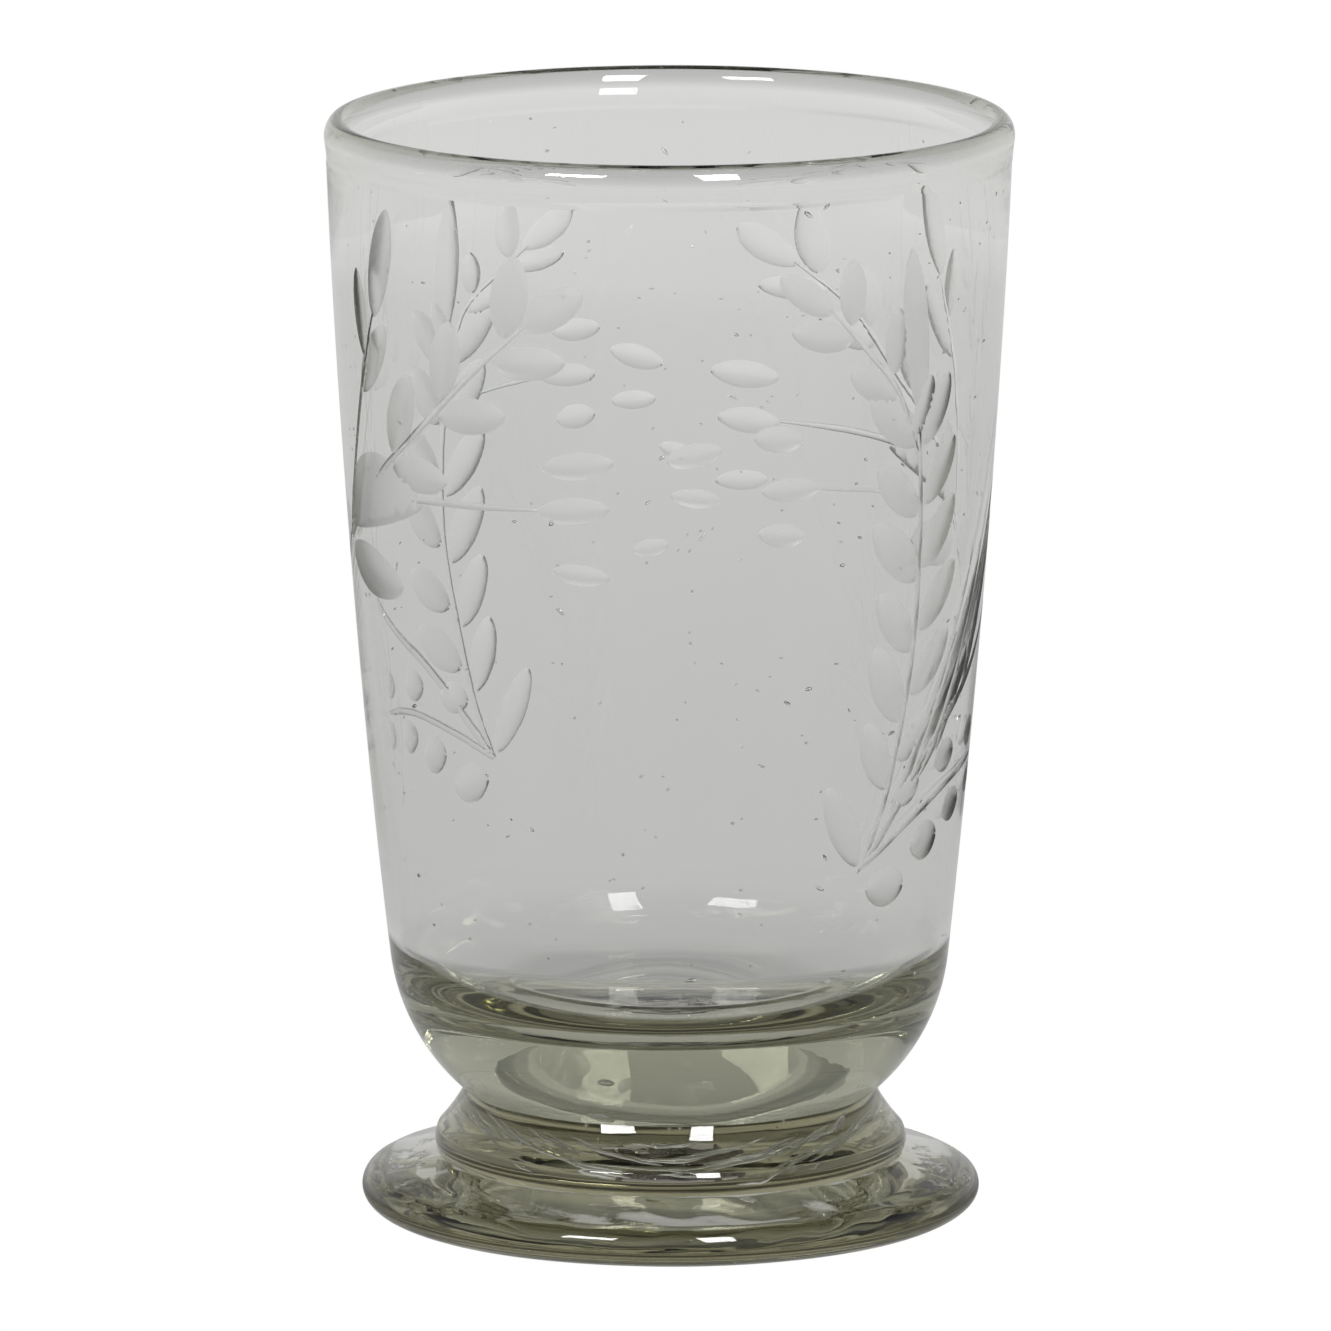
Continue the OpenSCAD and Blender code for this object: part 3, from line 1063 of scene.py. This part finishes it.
# Piece, CAD node, slot, fused faces, and the glass: tint, density, ripple, scale, dull, grain
PIECES = (
    (make_bowl, "bowl", "bowl_glass", level_with(NECK_Z), (GLASS_TINT, 40, 0.025 * MM, 55, 0.05, 0)),
    (collar_piece, "collar", "thick_glass", collar_joints, (THICK_TINT, 54, 0.03 * MM, 110, 0.06, 0)),
    (foot_piece, "foot", "thick_glass", foot_joints, (THICK_TINT, 54, 0.05 * MM, 90, 0.08, 0)),
    # The pontil mark's dark tint and dense absorption are painted shade
    (pontil_piece, "pontil_mark", "rough_glass", knob_joint,
     (PONTIL_SHADE_TINT, 260, 0.1 * MM, 600, 0.5, 0.01 * MM)),
)
for build, node, slot, fused, look in PIECES:
    piece = build()
    joint_ior(piece, fused)
    piece.data.materials.append(glass(node + "_glass", *look))
    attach(piece, "root")
    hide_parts(node)


# ---------------------------------------------------------------------------
# Studio. The camera sees a plain white floor and backdrop, as in a cut-out product
# photograph. All other rays see the floor and walls as a soft grey, with a painted contact shadow on
# the floor round the foot.
# ---------------------------------------------------------------------------
# The floor reaches this far each way, a hair below the standing ring
FLOOR_SIZE, FLOOR_GAP = 3.0, 0.05 * MM
# Grey glow of the floor by the distance from the glass's axis, with a painted contact shadow
# where the foot stands, since the glowing floor takes no cast shadow, and grey of the room by the
# height of the direction
FLOOR_GLOW_AND_SHADOW = ((0.0, 0.54), (0.033, 0.52), (0.042, 0.26), (0.05, 0.3), (0.072, 0.53), (0.2, 0.54),
              (0.45, 0.57), (1.0, 0.68), (3.0, 0.78))
ROOM_GLOW = ((-1.0, 0.3), (-0.3, 0.5), (0.0, 0.74), (0.15, 0.72), (0.3, 0.62), (0.5, 0.34),
             (0.75, 0.15), (1.0, 0.07))


def two_faced(nodes, white, grey, output):
    """White for the camera's own rays, grey for all others."""
    path = nodes.add("ShaderNodeLightPath")
    mix = nodes.add("ShaderNodeMixShader")
    nodes.link(path.outputs["Is Camera Ray"], mix.inputs[0])
    nodes.link(grey.outputs[0], mix.inputs[1])
    nodes.link(white.outputs[0], mix.inputs[2])
    nodes.link(mix.outputs[0], output.inputs["Surface"])


def room():
    world = bpy.data.worlds.new("studio")
    bpy.context.scene.world = world
    nodes = Nodes(world)
    output = nodes.add("ShaderNodeOutputWorld")
    white, grey = nodes.add("ShaderNodeBackground"), nodes.add("ShaderNodeBackground")
    white.inputs[0].default_value = (1, 1, 1, 1)
    split = nodes.add("ShaderNodeSeparateXYZ")
    nodes.link(nodes.add("ShaderNodeTexCoord").outputs["Generated"], split.inputs[0])
    nodes.link(nodes.curve(split.outputs["Z"], ROOM_GLOW, -1, 1), grey.inputs[0])
    two_faced(nodes, white, grey, output)


def floor():
    mesh = bpy.data.meshes.new("floor")
    s, z = FLOOR_SIZE, -FLOOR_GAP
    mesh.from_pydata([(-s, -s, z), (s, -s, z), (s, s, z), (-s, s, z)], [], [(0, 1, 2, 3)])
    piece = new_piece("floor", mesh)
    material = bpy.data.materials.new("floor")
    nodes = Nodes(material)
    output = nodes.add("ShaderNodeOutputMaterial")
    white, grey = nodes.add("ShaderNodeEmission"), nodes.add("ShaderNodeEmission")
    white.inputs[0].default_value = (1, 1, 1, 1)
    split = nodes.add("ShaderNodeSeparateXYZ")
    nodes.link(nodes.add("ShaderNodeTexCoord").outputs["Object"], split.inputs[0])
    x, y, _ = split.outputs
    away = nodes.math("SQRT", nodes.math("ADD", nodes.math("POWER", x, 2), nodes.math("POWER", y, 2)))
    # The floor's glow holds a painted contact shadow round the foot
    nodes.link(nodes.curve(away, FLOOR_GLOW_AND_SHADOW, 0, FLOOR_SIZE), grey.inputs[0])
    two_faced(nodes, white, grey, output)
    mesh.materials.append(material)


# Soft boxes, a wide one on the left and a tall one on the right: place to the side, height of
# the middle, width and own height. Then their place in front, the point that they face and
# their watts per square metre.
SOFT_BOXES = ((-0.92, 1.15, 0.62, 0.45), (0.5, 1.05, 0.4, 0.9))
BOX_Y, BOX_AIM, BOX_POWER = -1.45, Vector((0, 0, 0.08)), 70


def soft_boxes():
    """Two soft boxes above and beside the camera, turned to the glass."""
    for x, z, width, height in SOFT_BOXES:
        data = bpy.data.lights.new("softbox", "AREA")
        data.shape = "RECTANGLE"
        data.size, data.size_y = width, height
        data.energy = BOX_POWER * width * height
        box = bpy.data.objects.new("softbox", data)
        bpy.context.scene.collection.objects.link(box)
        box.location = (x, BOX_Y, z)
        box.rotation_mode = "QUATERNION"
        box.rotation_quaternion = (BOX_AIM - box.location).to_track_quat("-Z", "Y")
        box.visible_camera = False


# Light crosses many surfaces in the base before it leaves the glass
GLASS_BOUNCES = 32


def studio():
    scene = bpy.context.scene
    scene.view_settings.view_transform = "Standard"
    scene.cycles.max_bounces = GLASS_BOUNCES
    scene.cycles.transmission_bounces = GLASS_BOUNCES
    scene.cycles.glossy_bounces = GLASS_BOUNCES // 2
    scene.cycles.transparent_max_bounces = GLASS_BOUNCES
    scene.cycles.volume_bounces = 0
    scene.cycles.caustics_refractive = False
    scene.cycles.caustics_reflective = False
    room()
    floor()
    soft_boxes()


# Focal length and sensor width in millimetres, and the camera's place to the side, distance,
# height and the height that it aims at
LENS, SENSOR_W = 448.30954, 36
CAMERA_X, CAMERA_AWAY, CAMERA_H, CAMERA_AIM = -0.0005, 2.2, 0.484, 0.0748


def camera():
    data = bpy.data.cameras.new("camera")
    data.sensor_width = SENSOR_W
    data.lens = LENS
    cam = bpy.data.objects.new("camera", data)
    bpy.context.scene.collection.objects.link(cam)
    cam.location = (CAMERA_X, -CAMERA_AWAY, CAMERA_H)
    pitch = math.atan2(CAMERA_H - CAMERA_AIM, CAMERA_AWAY)
    cam.rotation_euler = (math.pi / 2 - pitch, 0, 0)
    data.clip_start, data.clip_end = 0.1, 50
    bpy.context.scene.camera = cam


studio()
camera()
